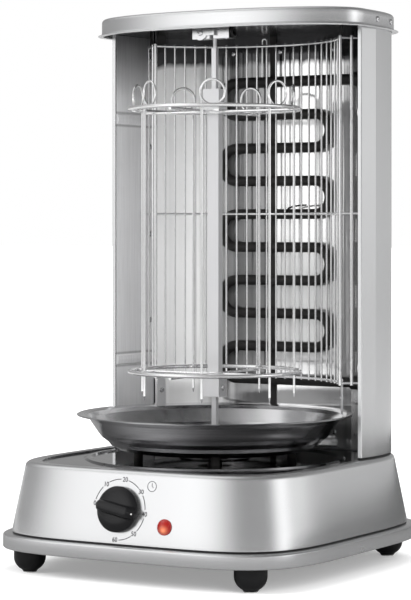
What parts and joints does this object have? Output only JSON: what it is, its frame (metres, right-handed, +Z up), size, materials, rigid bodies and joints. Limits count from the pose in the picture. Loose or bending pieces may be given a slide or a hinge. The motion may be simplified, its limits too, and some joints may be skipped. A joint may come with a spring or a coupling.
{
  "type": "electric skewer grill",
  "caption": "Upright electric grill with a turning carousel of hanging skewers, a serpentine heater behind a wire guard, a drip tray and a timer base.",
  "frame": {"origin": "on the floor, under the middle of the whole box", "axes": "+Z up, -Y to the front with the timer knob, +X to the right seen from the front"},
  "size_m": [0.34, 0.3586, 0.546],
  "materials": {
    "satin_silver": "satin",
    "mirror_steel": "polished",
    "tray_steel": "polished",
    "wire_steel": "bright",
    "liner_steel": "satin",
    "zinc": "plated",
    "heater_black": "matte",
    "cover_black": "matte",
    "ceramic_white": "unglazed ceramic",
    "black_plastic": "matte",
    "knob_black": "gloss",
    "foot_rubber": "matte",
    "red_lens": "clear red"
  },
  "bodies": {
    "frame": {"base_shell": "satin_silver", "bottom_cover": "cover_black", "feet": "foot_rubber", "cover_screws": "zinc", "top_plate": "mirror_steel", "tray_rests": "zinc", "drip_tray": "tray_steel", "bearing_bush": "black_plastic", "drive_motor": "zinc", "motor_bracket": "liner_steel", "timer_body": "black_plastic", "lamp_holder": "black_plastic", "lamp_lens": "red_lens", "terminal_block": "ceramic_white", "cord_gland": "black_plastic", "cabinet_wall": "satin_silver", "left_liner": "liner_steel", "right_liner": "liner_steel", "liner_screws": "zinc", "reflector": "mirror_steel", "ceiling_sheet": "mirror_steel", "roof": "satin_silver", "roof_screws": "zinc", "bearing_bar": "mirror_steel", "latch_screw": "zinc", "heater_tube": "heater_black", "heater_strip": "liner_steel", "heater_insulators": "ceramic_white", "wire_guard": "wire_steel", "guard_posts": "liner_steel", "guard_hangers": "liner_steel"},
    "carousel": {"drive_socket": "black_plastic", "spindle": "tray_steel", "spindle_sleeve": "tray_steel", "lower_hub": "tray_steel", "upper_hub": "tray_steel", "hub_screws": "zinc", "lower_ring": "tray_steel", "upper_ring": "tray_steel"},
    "timer": {"timer_knob": "knob_black", "timer_shaft": "zinc"},
    "latch": {"shaft_latch": "mirror_steel"},
    "skewer_1": {"skewer_1": "wire_steel"},
    "skewer_2": {"skewer_2": "wire_steel"},
    "skewer_3": {"skewer_3": "wire_steel"},
    "skewer_4": {"skewer_4": "wire_steel"},
    "skewer_5": {"skewer_5": "wire_steel"},
    "skewer_6": {"skewer_6": "wire_steel"},
    "skewer_7": {"skewer_7": "wire_steel"}
  },
  "joints": [
    {"name": "carousel_turn", "type": "hinge", "parent": "frame", "child": "carousel", "pos_m": [0, 0.004, 0.3], "axis": [0, 0, 1], "continuous": true},
    {"name": "skewer_1_lift", "type": "slide", "parent": "carousel", "child": "skewer_1", "axis": [0, 0, 1], "range_m": [0, 0.03]},
    {"name": "skewer_2_lift", "type": "slide", "parent": "carousel", "child": "skewer_2", "axis": [0, 0, 1], "range_m": [0, 0.03]},
    {"name": "skewer_3_lift", "type": "slide", "parent": "carousel", "child": "skewer_3", "axis": [0, 0, 1], "range_m": [0, 0.03]},
    {"name": "skewer_4_lift", "type": "slide", "parent": "carousel", "child": "skewer_4", "axis": [0, 0, 1], "range_m": [0, 0.03]},
    {"name": "skewer_5_lift", "type": "slide", "parent": "carousel", "child": "skewer_5", "axis": [0, 0, 1], "range_m": [0, 0.03]},
    {"name": "skewer_6_lift", "type": "slide", "parent": "carousel", "child": "skewer_6", "axis": [0, 0, 1], "range_m": [0, 0.03]},
    {"name": "skewer_7_lift", "type": "slide", "parent": "carousel", "child": "skewer_7", "axis": [0, 0, 1], "range_m": [0, 0.03]},
    {"name": "timer_turn", "type": "hinge", "parent": "frame", "child": "timer", "pos_m": [-0.004, -0.16333, 0.07], "axis": [0, -0.9855, 0.1694], "range_deg": [-90.8, 181.6]},
    {"name": "latch_swing", "type": "hinge", "parent": "frame", "child": "latch", "pos_m": [-0.012, -0.0033, 0.52575], "axis": [0, -1, 0], "range_deg": [0, 85]}
  ]
}
